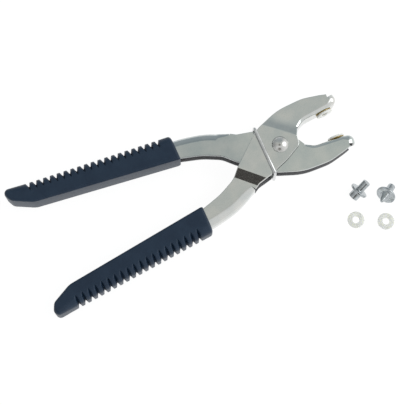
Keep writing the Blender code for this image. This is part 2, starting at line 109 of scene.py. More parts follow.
# Pivot: the rivet's hole and how far cutters reach through both cheeks, then the rivet's
# clearance in the hole, its clenched tail and the steps of its dome.
RIVET_HOLE_R = 2.8
THROUGH_CUT = 9.0
SHANK_CLEARANCE = 0.3
RIVET_TAIL_R = 3.6
DOME_STEPS = 16

# Near the pivot the handle's web ends at the outline's open edge. Its bend is still wide
# there on the outer lever (side 1) and has faded out on the inner one (side -1).
WEB_END = [(-25.5, -18.3), (-22.4, -16.7), (-20.7, -15.85)]
WEB_STOP = (-20.3, -15.65, 0.0, 0.0)
WEB_END_FOLDS = {1: (4.0, 3.4, 2.6), -1: (2.8, 1.7, 0.9)}

# The sheet's bend, for a bend radius of 1: slope of the skin (degrees) at equal steps along
# it. A shallow shoulder runs along the cheek, then the sheet turns quickly into the web.
BEND_SLOPES = [0, 14, 22, 25, 27, 30, 36, 46, 58, 70, 81, 90]

# Open edges are rounded, in steps round a quarter turn. A hair of slack keeps the inner
# skin of a tight bend from folding onto itself. The inner skin is marked for its material.
EDGE_ROUND = 0.35
EDGE_ANGLES = [math.radians(angle) for angle in (30, 60, 90)]
INNER_SLACK = 0.01
INNER_SKIN = "inner_skin"

# The outer lever's cheeks step inwards at its jaw and its handle, between two creases:
# the step and the cuts that divide it, then for each side the creases' normal, their
# distances from the pivot and the share of the slope between them that is straight.
CHEEK_STEP = 0.9
STEP_CUTS = 16
STEPPED_WIDTH = OUTER_WIDTH - 2 * CHEEK_STEP
CREASES = [
    (math.radians(49.5), 7.0, 15.0, 0.35),
    (math.radians(226.0), 18.3, 23.9, 0.85),
]

# Return spring wire.
WIRE_R = 0.85
WIRE_BEND_R = 1.25
WIRE_NOTCH_R = WIRE_R + 0.35

# Die seats.
SEAT_X = 28.0
SOCKET_BORE_R = 2.1
SOCKET_BARREL_R = 2.45
SOCKET_HOLE_R = 2.75
SOCKET_CUT = 3.0
SOCKET_FLANGE_R = 4.1
SOCKET_FLANGE_THICK = 0.3
SOCKET_REACH = 1.0
FACE_GAP = 0.1
RING_R = 4.25
RING_HOLE_R = 1.7
RING_THICK = 0.95

# Grip sleeves.
GRIP_HALF_THICK = 7.4
GRIP_CLEARANCE = 0.3
TANG_FULL_X = -121.8
TANG_SECTION_X = TANG_FULL_X + 0.1
ROOM_END_X = -124.7
GRIP_MOUTH_X = -48.3
ROOM_STATIONS = (ROOM_END_X, TANG_FULL_X, -90.0, -61.0, -57.0, -54.0, -51.0, GRIP_MOUTH_X)
ROOM_INNER_CORNER = 0.1
GROOVES = 20
GROOVE_PITCH = 3.54
FIRST_GROOVE_X = -55.6
GROOVE_EDGE = 0.29
GROOVE_FLOOR = 0.02
GROOVE_SHAPE = 1.15
GROOVE_DEPTH_MIDDLE = 1.5
GROOVE_DEPTH_SIDE = 5.0
GRIP_CORNERS = [
    (GRIP_MOUTH_X, -13.1, 0.0, 0.0),
    (-123.6, -22.5, 10.0, 0.0),
    (-133.7, -27.7, 3.5, 0.0),
    (-137.4, -34.75, 2.6, 0.0),
    (GRIP_MOUTH_X, -26.8, 0.0, 0.0),
]
GRIP_INNER_CORNER = 1.2
GRIP_PALM_CORNER = 4.2
TAIL_ROUND = 2.4
MOUTH_ROUND = 1.5
MOUTH_ROUND_INNER = 0.5

# Grip mesh. Across the sleeve: the palm side's points as shares of the half thickness, flat
# in the middle and close together round the corner, then points down the side, steps round
# its far corner and the largest share of the section that one corner takes. Along the
# sleeve: steps round the mouth, over each groove, behind the grooves and round the tail.
PALM_FLAT = [0.0, 0.12, 0.24, 0.34]
PALM_CORNER_SHARE = 0.57
SIDE_SHARES = (0.08, 0.2, 0.4, 0.6, 0.8)
CORNER_STEPS = 8
CORNER_LIMIT = 0.4
MOUTH_STEPS = 6
STEPS_PER_GROOVE = 16
BEHIND_STEPS = 12
TAIL_STEPS = 10
TAIL_ROUND_END = math.radians(88)

# Loose dies: radii and lengths along their own axes, and the way they point.
DIE_FLANGE_THICK = 1.2
PIN_FLANGE_R = 4.75
PIN_HEAD_R = 2.6
PIN_HEAD_LENGTH = 4.0
PIN_STEM_R = 2.0
PIN_STEM_LENGTH = 5.5
PIN_SHOULDER = 0.6
PIN_DISH = 0.7
CONE_FLANGE_R = 5.0
CONE_BASE_R = 2.7
CONE_TIP_R = 0.6
CONE_LENGTH = 4.9
CONE_STEM_R = 1.95
CONE_STEM_LENGTH = 6.3
PIN_DIE_AT = (27.3, -35.9)
PIN_DIE_HEADING = math.radians(20)
CONE_DIE_AT = (39.7, -42.9)
CONE_DIE_HEADING = math.radians(212)

# Camera: it looks almost straight down, with the picture's up direction turned from +X.
VIEW_TARGET = Vector((-47.45, -11.44, 14.8)) * MM
VIEW_ROLL = math.radians(23.96)
VIEW_TILT = math.radians(12.5)
VIEW_DISTANCE = 0.70
VIEW_WIDTH = 0.2002
PICTURE_UP = Vector((math.sin(VIEW_ROLL), math.cos(VIEW_ROLL), 0.0))
PICTURE_RIGHT = Vector((math.cos(VIEW_ROLL), -math.sin(VIEW_ROLL), 0.0))

# Plating: painted shade darkens the inner lever's handle against its front, in place of
# the darker reflection it shows; between these places along X one fades into the other.
INNER_HANDLE_PAINTED_SHADE = (0.84, 0.85, 0.87)
HANDLE_FADE_X = (-24.0, -8.0)

# Mesh attribute of turned pieces: radius and height in their own profile, in millimetres.
PROFILE_PLACE = "profile_place"

# The Mix node has sockets for each kind of data; these are its colours'.
MIX_FIRST = 6
MIX_SECOND = 7
MIX_RESULT = 2

# Studio floor, in millimetres, and key light, in metres and watts.
FLOOR_RADIUS = 2500.0
FLOOR_DROP = 0.05
FLOOR_GREY = 0.15
FLOOR_GLOW = 0.92
KEY_DIRECTION = PICTURE_RIGHT * 1.2 + Vector((0, 0, 1)) + PICTURE_UP * 0.32
KEY_DISTANCE = 0.8
KEY_SIZE = 0.5
KEY_POWER = 1.6

# The tent over the floor. A stop is a place from 0 at one side of the tent to 1 at the
# other, and a colour. They run from the picture's lower side to its upper side; then, from
# left to right, come the light of the two sides and how far it covers the rest.
TENT_STOPS = [
    (0.0, (0.70, 0.71, 0.71)), (0.10, (0.82, 0.83, 0.83)), (0.22, (0.95, 0.96, 0.96)),
    (0.34, (0.86, 0.87, 0.87)), (0.44, (0.70, 0.70, 0.69)), (0.50, (0.64, 0.64, 0.62)),
    (0.60, (0.68, 0.69, 0.66)), (0.70, (0.60, 0.64, 0.63)), (0.80, (0.38, 0.42, 0.44)),
    (0.90, (0.40, 0.44, 0.46)), (1.0, (0.50, 0.54, 0.57))]
SIDE_STOPS = [
    (0.0, (0.34, 0.35, 0.37)), (0.38, (0.54, 0.55, 0.55)), (0.75, (0.9, 0.9, 0.9)),
    (1.0, (1.0, 1.0, 1.0))]
SIDE_COVER_STOPS = [
    (0.0, (0.75, 0.75, 0.75)), (0.40, (0.0, 0.0, 0.0)), (0.62, (0.0, 0.0, 0.0)),
    (0.78, (0.9, 0.9, 0.9))]

# Dark shapes in the tent, the camera and a person: direction, the cosines of the angles at
# their outline and their core, and brightness. Both are a little warm.
CAMERA_DIRECTION = Vector((0, 0, 1)) - PICTURE_UP * 0.07 - PICTURE_RIGHT * 0.09
PERSON_DIRECTION = Vector((0, 0, 0.64)) - PICTURE_UP * 0.76 - PICTURE_RIGHT * 0.08
DARK_SHAPES = [(CAMERA_DIRECTION, 0.980, 0.987, 0.07), (PERSON_DIRECTION, 0.940, 0.968, 0.20)]
DARK_TINT = (1.0, 0.93, 0.88)


# ---------------------------------------------------------------- mesh helpers

def rounded_outline(corners, step=math.radians(5)):
    """Points of a closed outline with filleted corners, each with its corner's last value."""
    outline = []
    count = len(corners)
    for i, (x, y, radius, value) in enumerate(corners):
        here = Vector((x, y))
        before = (Vector(corners[i - 1][:2]) - here).normalized()
        after = (Vector(corners[(i + 1) % count][:2]) - here).normalized()
        turn = before.angle(after)
        if radius == 0.0 or turn > math.radians(179):
            outline.append((here, value))
            continue
        setback = radius / math.tan(turn / 2)
        start = here + before * setback
        centre = here + (before + after).normalized() * (radius / math.sin(turn / 2))
        first = start - centre
        sweep = first.angle_signed(here + after * setback - centre)
        steps = max(2, math.ceil(abs(sweep) / step))
        for k in range(steps + 1):
            spoke = first.copy()
            spoke.rotate(Matrix.Rotation(-sweep * k / steps, 2))
            outline.append((centre + spoke, value))
    return outline


def inward_normals(outline):
    """Normals into a counter-clockwise outline: mitred, but square to the web at its ends."""
    normals = []
    count = len(outline)
    for i, (point, fold) in enumerate(outline):
        last, last_fold = outline[i - 1]
        following, next_fold = outline[(i + 1) % count]
        back = (point - last).normalized()
        ahead = (following - point).normalized()
        if fold > 0.0 and next_fold == 0.0:
            ahead = back
        if fold > 0.0 and last_fold == 0.0:
            back = ahead
        across = Vector((-back.y - ahead.y, back.x + ahead.x)).normalized()
        normals.append(across / max(0.5, across.dot(Vector((-ahead.y, ahead.x)))))
    return normals


def object_from_bmesh(name, mesh_data, sharp=math.radians(35)):
    """Turn a bmesh in millimetres into a smooth-shaded object in metres."""
    bmesh.ops.recalc_face_normals(mesh_data, faces=mesh_data.faces)
    bmesh.ops.scale(mesh_data, vec=(MM, MM, MM), verts=mesh_data.verts)
    for face in mesh_data.faces:
        face.smooth = True
    for edge in mesh_data.edges:
        if len(edge.link_faces) == 2:
            edge.smooth = edge.calc_face_angle() < sharp
    mesh = bpy.data.meshes.new(name)
    mesh_data.to_mesh(mesh)
    mesh_data.free()
    item = bpy.data.objects.new(name, mesh)
    bpy.context.scene.collection.objects.link(item)
    return item


def add_faces(mesh_data, loops):
    """Add faces, leaving out repeated neighbours and faces that shrink to a line."""
    for loop in loops:
        kept = [v for i, v in enumerate(loop) if v is not loop[i - 1]]
        if len(kept) >= 3:
            mesh_data.faces.new(kept)


def turned(corners, segments=96):
    """A turned body about Z from a closed profile of (radius, height, fillet) corners."""
    outline = rounded_outline([(r, z, fillet, 0.0) for r, z, fillet in corners], math.radians(15))
    mesh_data = bmesh.new()
    profile_place = mesh_data.verts.layers.float_vector.new(PROFILE_PLACE)
    rings = []
    for point, _ in outline:
        ring = []
        for i in range(segments if point.x > 1e-6 else 1):
            angle = 2 * math.pi * i / segments
            across = (point.x * math.cos(angle), point.x * math.sin(angle))
            vert = mesh_data.verts.new((*across, point.y))
            vert[profile_place] = (point.x, point.y, 0.0)
            ring.append(vert)
        rings.append(ring if len(ring) > 1 else ring * segments)
    for low, high in zip(rings, rings[1:] + rings[:1]):
        for i in range(segments):
            j = (i + 1) % segments
            add_faces(mesh_data, [[low[i], low[j], high[j], high[i]]])
    return mesh_data


def plain_cylinder(radius, reach, segments=64):
    """A cylinder about Z that reaches equally far below and above the origin."""
    corners = [(0.0, -reach, 0.0), (radius, -reach, 0.0), (radius, reach, 0.0), (0.0, reach, 0.0)]
    return turned(corners, segments)


def cut(target, cutter_mesh):
    """Cut a body out of an object and keep the plain result."""
    cutter = object_from_bmesh("cutter", cutter_mesh)
    boolean = target.modifiers.new("cut", "BOOLEAN")
    boolean.operation = "DIFFERENCE"
    boolean.solver = "EXACT"
    boolean.object = cutter
    graph = bpy.context.evaluated_depsgraph_get()
    result = bpy.data.meshes.new_from_object(target.evaluated_get(graph))
    target.modifiers.clear()
    target.data = result
    bpy.data.objects.remove(cutter, do_unlink=True)


def keep_faces_flat(item):
    """Shade the sheet's flat faces as flat right up to its rounded edges."""
    weighted = item.modifiers.new("flat_faces", "WEIGHTED_NORMAL")
    weighted.weight = 100
    weighted.keep_sharp = True


def finish_piece(item, body, node, material):
    """Give a piece its material, its body and the CAD node that it stands for."""
    item.data.materials.clear()
    item.data.materials.append(material)
    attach(item, body)
    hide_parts(node)
    return item


# ---------------------------------------------------------------- materials

def new_material(name):
    """A material with its node tree, its Principled shader and a position in millimetres."""
    material = bpy.data.materials.new(name)
    material.use_nodes = True
    tree = material.node_tree
    shader = tree.nodes["Principled BSDF"]
    place = tree.nodes.new("ShaderNodeTexCoord")
    scaled = tree.nodes.new("ShaderNodeMapping")
    scaled.inputs["Scale"].default_value = (1 / MM, 1 / MM, 1 / MM)
    tree.links.new(place.outputs["Object"], scaled.inputs["Vector"])
    return material, tree, shader, scaled.outputs["Vector"]


def stretched(tree, vector, scale):
    """A position stretched along its axes."""
    node = tree.nodes.new("ShaderNodeMapping")
    node.inputs["Scale"].default_value = scale
    tree.links.new(vector, node.inputs["Vector"])
    return node.outputs["Vector"]


def noise(tree, vector, scale, detail=2.0, roughness=0.5):
    """Cloudy noise around 0.5, with features 1 / scale millimetres apart."""
    node = tree.nodes.new("ShaderNodeTexNoise")
    node.inputs["Scale"].default_value = scale
    node.inputs["Detail"].default_value = detail
    node.inputs["Roughness"].default_value = roughness
    tree.links.new(vector, node.inputs["Vector"])
    return node.outputs["Fac"]


def remap(tree, value, low, high, to_low, to_high):
    """A value moved from one range to another and kept inside it."""
    node = tree.nodes.new("ShaderNodeMapRange")
    node.inputs["From Min"].default_value = low
    node.inputs["From Max"].default_value = high
    node.inputs["To Min"].default_value = to_low
    node.inputs["To Max"].default_value = to_high
    tree.links.new(value, node.inputs["Value"])
    return node.outputs["Result"]


def two_colors(tree, value, low, high, color_low, color_high):
    """One colour below low, another above high and their blend between."""
    node = tree.nodes.new("ShaderNodeValToRGB")
    node.color_ramp.elements[0].position = low
    node.color_ramp.elements[0].color = (*color_low, 1.0)
    node.color_ramp.elements[1].position = high
    node.color_ramp.elements[1].color = (*color_high, 1.0)
    tree.links.new(value, node.inputs["Fac"])
    return node.outputs["Color"]


def bump(tree, height, distance, strength=1.0, before=None):
    """A bump of a height in millimetres."""
    node = tree.nodes.new("ShaderNodeBump")
    node.inputs["Strength"].default_value = strength
    node.inputs["Distance"].default_value = distance * MM
    tree.links.new(height, node.inputs["Height"])
    if before:
        tree.links.new(before, node.inputs["Normal"])
    return node.outputs["Normal"]


def mixed(tree, factor, first, second, blend="MIX"):
    """Two colours mixed. Without a factor the second counts in full, and it may be plain."""
    node = tree.nodes.new("ShaderNodeMix")
    node.data_type = "RGBA"
    node.blend_type = blend
    node.inputs["Factor"].default_value = 1.0
    if factor:
        tree.links.new(factor, node.inputs["Factor"])
    tree.links.new(first, node.inputs[MIX_FIRST])
    if isinstance(second, tuple):
        node.inputs[MIX_SECOND].default_value = (*second, 1.0)
    else:
        tree.links.new(second, node.inputs[MIX_SECOND])
    return node.outputs[MIX_RESULT]


def plated_sheet(name, tint, grain_angle, painted_handle_shade=None):
    """Bright plated pressed steel: rolled grain, faint waviness, cloudy and worn patches. The
    handle may be darkened by painted shade against the front, in place of its darker
    reflection, and the inside of the channel is unpolished."""
    material, tree, shader, place = new_material(name)
    turned_place = tree.nodes.new("ShaderNodeMapping")
    turned_place.inputs["Rotation"].default_value = (0.0, 0.0, grain_angle)
    tree.links.new(place, turned_place.inputs["Vector"])
    rolled = stretched(tree, turned_place.outputs["Vector"], (0.10, 2.4, 2.4))
    rubbed = stretched(tree, turned_place.outputs["Vector"], (0.05, 7.0, 7.0))
    grain = noise(tree, rolled, 1.0, detail=4.0, roughness=0.6)
    scratch = noise(tree, rubbed, 1.0, detail=2.0, roughness=0.7)
    cloud = noise(tree, place, 0.10, detail=3.0, roughness=0.6)
    wave = noise(tree, place, 0.05, detail=1.0, roughness=0.4)
    cooler = (tint[0] * 0.86, tint[1] * 0.90, tint[2] * 0.92)
    color = two_colors(tree, cloud, 0.36, 0.64, cooler, tint)
    # Painted shade: the tint darkens from the front towards the handle, in place of the handle's
    # darker reflection.
    if painted_handle_shade:
        parts = tree.nodes.new("ShaderNodeSeparateXYZ")
        tree.links.new(place, parts.inputs["Vector"])
        front = remap(tree, parts.outputs["X"], *HANDLE_FADE_X, 0.0, 1.0)
        shade = two_colors(tree, front, 0.0, 1.0, painted_handle_shade, (1.0, 1.0, 1.0))
        color = mixed(tree, None, color, shade, "MULTIPLY")
    inner = tree.nodes.new("ShaderNodeAttribute")
    inner.attribute_name = INNER_SKIN
    raw = two_colors(tree, grain, 0.3, 0.7, (0.20, 0.20, 0.21), (0.30, 0.30, 0.31))
    color = mixed(tree, inner.outputs["Fac"], color, raw)
    tree.links.new(color, shader.inputs["Base Color"])
    metal = remap(tree, inner.outputs["Fac"], 0.0, 1.0, 1.0, 0.45)
    tree.links.new(metal, shader.inputs["Metallic"])
    polish = remap(tree, grain, 0.3, 0.7, 0.07, 0.16)
    rougher_inside = tree.nodes.new("ShaderNodeMath")
    rougher_inside.operation = "MULTIPLY_ADD"
    rougher_inside.inputs[1].default_value = 0.4
    tree.links.new(inner.outputs["Fac"], rougher_inside.inputs[0])
    tree.links.new(polish, rougher_inside.inputs[2])
    tree.links.new(rougher_inside.outputs["Value"], shader.inputs["Roughness"])
    normal = bump(tree, wave, 0.26)
    normal = bump(tree, grain, 0.004, before=normal)
    normal = bump(tree, scratch, 0.002, before=normal)
    tree.links.new(normal, shader.inputs["Normal"])
    return material


def turned_metal(name, tint, rough_low, rough_high):
    """Turned and zinc-plated metal: rings from the tool bit and cloudy plating."""
    material, tree, shader, place = new_material(name)
    profile = tree.nodes.new("ShaderNodeAttribute")
    profile.attribute_name = PROFILE_PLACE
    rings = noise(tree, profile.outputs["Vector"], 5.0, detail=3.0, roughness=0.7)
    cloud = noise(tree, place, 0.6, detail=3.0, roughness=0.65)
    darker = tuple(c * 0.62 for c in tint)
    tree.links.new(two_colors(tree, cloud, 0.34, 0.66, darker, tint), shader.inputs["Base Color"])
    shader.inputs["Metallic"].default_value = 1.0
    tree.links.new(remap(tree, cloud, 0.3, 0.7, rough_low, rough_high), shader.inputs["Roughness"])
    normal = bump(tree, rings, 0.02)
    normal = bump(tree, cloud, 0.02, before=normal)
    tree.links.new(normal, shader.inputs["Normal"])
    return material


def plain_metal(name, tint, rough_low, rough_high, grain_scale, grain_height):
    """Turned, drawn or cast metal with an even fine grain."""
    material, tree, shader, place = new_material(name)
    grain = noise(tree, stretched(tree, place, grain_scale), 1.0, detail=4.0, roughness=0.6)
    cloud = noise(tree, place, 0.35, detail=3.0, roughness=0.6)
    darker = tuple(c * 0.8 for c in tint)
    tree.links.new(two_colors(tree, cloud, 0.35, 0.65, darker, tint), shader.inputs["Base Color"])
    shader.inputs["Metallic"].default_value = 1.0
    tree.links.new(remap(tree, grain, 0.3, 0.7, rough_low, rough_high), shader.inputs["Roughness"])
    tree.links.new(bump(tree, grain, grain_height), shader.inputs["Normal"])
    return material


def grip_plastic(name):
    """Satin navy moulded plastic: fine stipple, soft mottling, faint sink marks."""
    material, tree, shader, place = new_material(name)
    stipple = noise(tree, place, 2.6, detail=3.0, roughness=0.6)
    mottle = noise(tree, place, 0.16, detail=3.0, roughness=0.6)
    sag = noise(tree, place, 0.05, detail=1.0, roughness=0.5)
    color = two_colors(tree, mottle, 0.35, 0.65, (0.012, 0.027, 0.053), (0.016, 0.034, 0.063))
    tree.links.new(color, shader.inputs["Base Color"])
    shader.inputs["Specular IOR Level"].default_value = 0.28
    tree.links.new(remap(tree, stipple, 0.3, 0.7, 0.36, 0.48), shader.inputs["Roughness"])
    normal = bump(tree, sag, 0.12)
    normal = bump(tree, stipple, 0.012, before=normal)
    tree.links.new(normal, shader.inputs["Normal"])
    return material


def clear_plastic(name):
    """Milky translucent nylon with faint flow marks."""
    material, tree, shader, place = new_material(name)
    flow = noise(tree, place, 0.5)
    color = two_colors(tree, flow, 0.35, 0.65, (0.76, 0.77, 0.73), (0.84, 0.85, 0.82))
    tree.links.new(color, shader.inputs["Base Color"])
    shader.inputs["Subsurface Weight"].default_value = 0.6
    shader.inputs["Subsurface Radius"].default_value = (1.0, 1.0, 0.9)
    shader.inputs["Subsurface Scale"].default_value = 0.001
    tree.links.new(remap(tree, flow, 0.3, 0.7, 0.25, 0.4), shader.inputs["Roughness"])
    tree.links.new(bump(tree, flow, 0.03), shader.inputs["Normal"])
    return material


# ---------------------------------------------------------------- levers

def bend_profile():
    """The bend's skin for a radius of 1: distance in from the outline, drop and slope."""
    slopes = [math.radians(slope) for slope in BEND_SLOPES]
    reach, drop = 0.0, 0.0
    points = [(0.0, 0.0, 0.0)]
    for last, slope in zip(slopes, slopes[1:]):
        reach += math.cos((last + slope) / 2)
        drop += math.sin((last + slope) / 2)
        points.append((reach, drop, slope))
    return [(1 - x / reach, y / reach, slope) for x, y, slope in points]


def bend_row(mesh_data, point, normal, fold, half_width):
    """The sheet at one place on the outline: outer skin, inner skin and the open edges' rims."""
    inner_skin = mesh_data.verts.layers.float[INNER_SKIN]

    def vertex(distance, height, side, inner):
        place = point + normal * distance
        vert = mesh_data.verts.new((place.x, place.y, side * height))
        vert[inner_skin] = inner
        return vert

    if fold == 0.0:
        outside = [vertex(EDGE_ROUND, half_width, side, 0.0) for side in (1, -1)]
        inside = [vertex(0.0, half_width - SHEET, side, 1.0) for side in (1, -1)]
        rims = []
        for side in (1, -1):
            rim = []
            for angle in EDGE_ANGLES:
                inset = EDGE_ROUND * (1 - math.sin(angle))
                drop = EDGE_ROUND * (1 - math.cos(angle))
                rim.append(vertex(inset, half_width - drop, side, 0.0))
            rims.append(rim)
        return outside, inside, rims
    profile = bend_profile()
    outside = []
    inside = []
    for side, points in ((1, profile), (-1, profile[::-1])):
        for inset, drop, slope in points:
            reach = inset * fold
            height = half_width - drop * fold
            outside.append(vertex(reach, height, side, 0.0))
            slack = INNER_SLACK * math.cos(slope)
            inner_top = half_width - SHEET - INNER_SLACK + slack
            inner_reach = max(reach + SHEET * math.sin(slope), SHEET + slack)
            inner_height = min(height - SHEET * math.cos(slope), inner_top)
            inside.append(vertex(inner_reach, inner_height, side, 1.0))
    return outside, inside, ([], [])


def join_edges(mesh_data, first, second):
    """Close the sheet's edge between two chains; a chain of two closes onto a longer one."""
    if len(first) == len(second):
        for k in range(len(first) - 1):
            mesh_data.faces.new((first[k], second[k], second[k + 1], first[k + 1]))
        return
    pair, chain = sorted((first, second), key=len)
    for k in range(len(chain) - 2):
        mesh_data.faces.new((pair[0], chain[k], chain[k + 1]))
    mesh_data.faces.new((pair[0], chain[-2], chain[-1], pair[1]))


def lever_corners(side):
    """The outline's corners with the handle's bend ending as it does on this lever."""
    ending = [(x, y, 0.0, fold) for (x, y), fold in zip(WEB_END, WEB_END_FOLDS[side])]
    following = LEVER_CORNERS.index(WEB_STOP)
    return LEVER_CORNERS[:following] + ending + LEVER_CORNERS[following:]


def lever_mesh(half_width, side):
    """A U-channel of bent sheet: two cheeks, joined by a web along the folded stretches."""
    outline = rounded_outline(lever_corners(side))
    normals = inward_normals(outline)
    mesh_data = bmesh.new()
    mesh_data.verts.layers.float.new(INNER_SKIN)
    rows = []
    for (point, fold), normal in zip(outline, normals):
        rows.append((fold, *bend_row(mesh_data, point, normal, fold, half_width)))
    for i, (fold, outside, inside, rims) in enumerate(rows):
        next_fold, next_outside, next_inside, next_rims = rows[(i + 1) % len(rows)]
        previous_fold = rows[i - 1][0]
        if fold > 0.0 and next_fold > 0.0:
            for k in range(len(outside) - 1):
                mesh_data.faces.new((outside[k], outside[k + 1], next_outside[k + 1], next_outside[k]))
                mesh_data.faces.new((inside[k + 1], inside[k], next_inside[k], next_inside[k + 1]))
        else:
            for end in (0, -1):
                join_edges(mesh_data, [outside[end], *rims[end], inside[end]],
                           [next_outside[end], *next_rims[end], next_inside[end]])
        if fold > 0.0 and (next_fold == 0.0 or previous_fold == 0.0):
            for k in range(len(outside) - 1):
                mesh_data.faces.new((outside[k], outside[k + 1], inside[k + 1], inside[k]))
    for skin in (1, 2):
        mesh_data.faces.new([row[skin][0] for row in rows])
        mesh_data.faces.new([row[skin][-1] for row in reversed(rows)])
    return mesh_data


def slope_share(x, straight):
    """From 0 to 1 over the unit length: straight at first, then levelling out."""
    x = max(0.0, min(1.0, x))
    levelling = max(0.0, x - straight) ** 2 / (2 * (1 - straight))
    return 2 * (x - levelling) / (1 + straight)


def step_cheeks(mesh_data, half_width):
    """Press the cheeks inwards beyond the creases; the web's flat narrows with them."""
    web_half = half_width - HANDLE_FOLD
    for angle, near, far, straight in CREASES:
        away = Vector((math.cos(angle), math.sin(angle), 0.0))
        for k in range(STEP_CUTS + 1):
            distance = near + (far - near) * k / STEP_CUTS
            parts = mesh_data.verts[:] + mesh_data.edges[:] + mesh_data.faces[:]
            bmesh.ops.bisect_plane(mesh_data, geom=parts, plane_co=away * distance, plane_no=away)
        for vert in mesh_data.verts:
            beyond = (vert.co.dot(away) - near) / (far - near)
            step = CHEEK_STEP * slope_share(beyond, straight) * min(1.0, abs(vert.co.z) / web_half)
            vert.co.z -= math.copysign(step, vert.co.z)


def seat_transform(side):
    """Where a jaw's die seat is: on the biting face, local +Z out of the web."""
    (x0, y0), (x1, y1) = LEVER_CORNERS[-2][:2], LEVER_CORNERS[-1][:2]
    slope = math.atan2(y1 - y0, x1 - x0)
    height = y0 + (SEAT_X - x0) * math.tan(slope)
    turn = Matrix.Rotation(slope, 4, "Z") @ Matrix.Rotation(math.radians(90), 4, "X")
    upper = Matrix.Translation((SEAT_X, height, MID_Z)) @ turn
    if side > 0:
        return upper
    return Matrix.Scale(-1, 4, (0, 1, 0)) @ upper @ Matrix.Scale(-1, 4, (1, 0, 0))


def wire_line():
    """Centre of the wire loop: x, half width in Y, half height in Z."""
    low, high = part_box("return_spring")
    middle = (low + high) / 2 / MM
    half = (high - low) / 2 / MM
    return middle.x, half.y - WIRE_R, half.z - WIRE_R


def make_lever(name, node, body, width, side, material):
    """A lever with its rivet hole, its notch for the wire and its hole for the die socket."""
    mesh_data = lever_mesh(width / 2, side)
    if side > 0:
        step_cheeks(mesh_data, width / 2)
    lever = object_from_bmesh(name, mesh_data)
    cut(lever, plain_cylinder(RIVET_HOLE_R, THROUGH_CUT))
    loop_x, loop_half_y, _ = wire_line()
    notch = plain_cylinder(WIRE_NOTCH_R, THROUGH_CUT, 32)
    bmesh.ops.translate(notch, vec=(loop_x, -loop_half_y, 0.0), verts=notch.verts)
    cut(lever, notch)
    hole = plain_cylinder(SOCKET_HOLE_R, SOCKET_CUT)
    seat = Matrix.Translation((0, 0, -MID_Z)) @ seat_transform(1)
    bmesh.ops.transform(hole, matrix=seat, verts=hole.verts)
    cut(lever, hole)
    place = Matrix.Translation((0, 0, MID_Z * MM))
    if side < 0:
        place = place @ Matrix.Rotation(math.pi, 4, "X")
    lever.data.transform(place)
    keep_faces_flat(lever)
    return finish_piece(lever, body, node, material)


# ---------------------------------------------------------------- pivot and spring

def make_pivot(material, washer_metal, spacer_metal):
    """The domed rivet, the washer under its clenched tail and the spacer tube round it."""
    low, high = span("pivot_rivet", 2)
    dome_low = OUTER_HIGH + FACE_GAP
    dome_radius = span("pivot_rivet", 0)[1]
    dome_height = high - dome_low
    washer_low, washer_high = span("rivet_washer", 2)
    washer_radius = span("rivet_washer", 0)[1]
    spacer_low, spacer_high = span("pivot_spacer", 2)
    spacer_radius = span("pivot_spacer", 0)[1]
    shank = RIVET_HOLE_R - SHANK_CLEARANCE
    tail_top = washer_low - FACE_GAP
    bulge = (dome_radius ** 2 + dome_height ** 2) / (2 * dome_height)
    profile = [(0.0, low, 0.0), (RIVET_TAIL_R, low, 0.4), (RIVET_TAIL_R, tail_top, 0.1)]
    profile += [(shank, tail_top, 0.0), (shank, dome_low, 0.0), (dome_radius, dome_low, 0.0)]
    opening = math.asin(dome_radius / bulge)
    for k in range(1, DOME_STEPS):
        angle = opening * (1 - k / DOME_STEPS)
        profile.append((bulge * math.sin(angle), high - bulge * (1 - math.cos(angle)), 0.0))
    profile.append((0.0, high, 0.0))
    rivet = object_from_bmesh("pivot_rivet_domed", turned(profile))
    finish_piece(rivet, "outer", "pivot_rivet", material)
    washer = object_from_bmesh("rivet_washer_flat", turned([
        (RIVET_HOLE_R, washer_low, 0.08), (washer_radius, washer_low, 0.15),
        (washer_radius, washer_high, 0.15), (RIVET_HOLE_R, washer_high, 0.08)]))
    finish_piece(washer, "outer", "rivet_washer", washer_metal)
    spacer = object_from_bmesh("pivot_spacer_tube", turned([
        (RIVET_HOLE_R, spacer_low, 0.1), (spacer_radius, spacer_low, 0.2),
        (spacer_radius, spacer_high, 0.2), (RIVET_HOLE_R, spacer_high, 0.1)]))
    finish_piece(spacer, "outer", "pivot_spacer", spacer_metal)


def make_return_spring(material, bend_steps=10, sides=28):
    """Round wire swept along a rounded rectangle in the YZ plane."""
    loop_x, half_y, half_z = wire_line()
    stations = []
    for quarter in range(4):
        sign_y = 1 if quarter in (0, 3) else -1
        sign_z = 1 if quarter < 2 else -1
        corner_y = sign_y * (half_y - WIRE_BEND_R)
        corner_z = MID_Z + sign_z * (half_z - WIRE_BEND_R)
        corner = Vector((loop_x, corner_y, corner_z))
        for k in range(bend_steps + 1):
            angle = math.radians(90) * (quarter + k / bend_steps)
            outward = Vector((0, math.cos(angle), math.sin(angle)))
            stations.append((corner + outward * WIRE_BEND_R, outward))
    mesh_data = bmesh.new()
    rings = []
    for centre, outward in stations:
        ring = []
        for i in range(sides):
            angle = 2 * math.pi * i / sides
            spoke = outward * math.cos(angle) + Vector((1, 0, 0)) * math.sin(angle)
            ring.append(mesh_data.verts.new(centre + spoke * WIRE_R))
        rings.append(ring)
    for ring, ahead in zip(rings, rings[1:] + rings[:1]):
        for k in range(sides):
            j = (k + 1) % sides
            mesh_data.faces.new((ring[k], ring[j], ahead[j], ahead[k]))
    spring = object_from_bmesh("return_spring_wire", mesh_data)
    finish_piece(spring, "spring", "return_spring", material)


# ---------------------------------------------------------------- grips

def groove_weight(x):
    """How deep a groove is at x, from 0 on a rib's crest to 1 at a groove's floor."""
    place = (FIRST_GROOVE_X - x) / GROOVE_PITCH
    nearest = min(max(round(place), 0), GROOVES - 1)
    rise = (GROOVE_EDGE - abs(place - nearest)) / (GROOVE_EDGE - GROOVE_FLOOR)
    return max(0.0, min(1.0, rise)) ** GROOVE_SHAPE


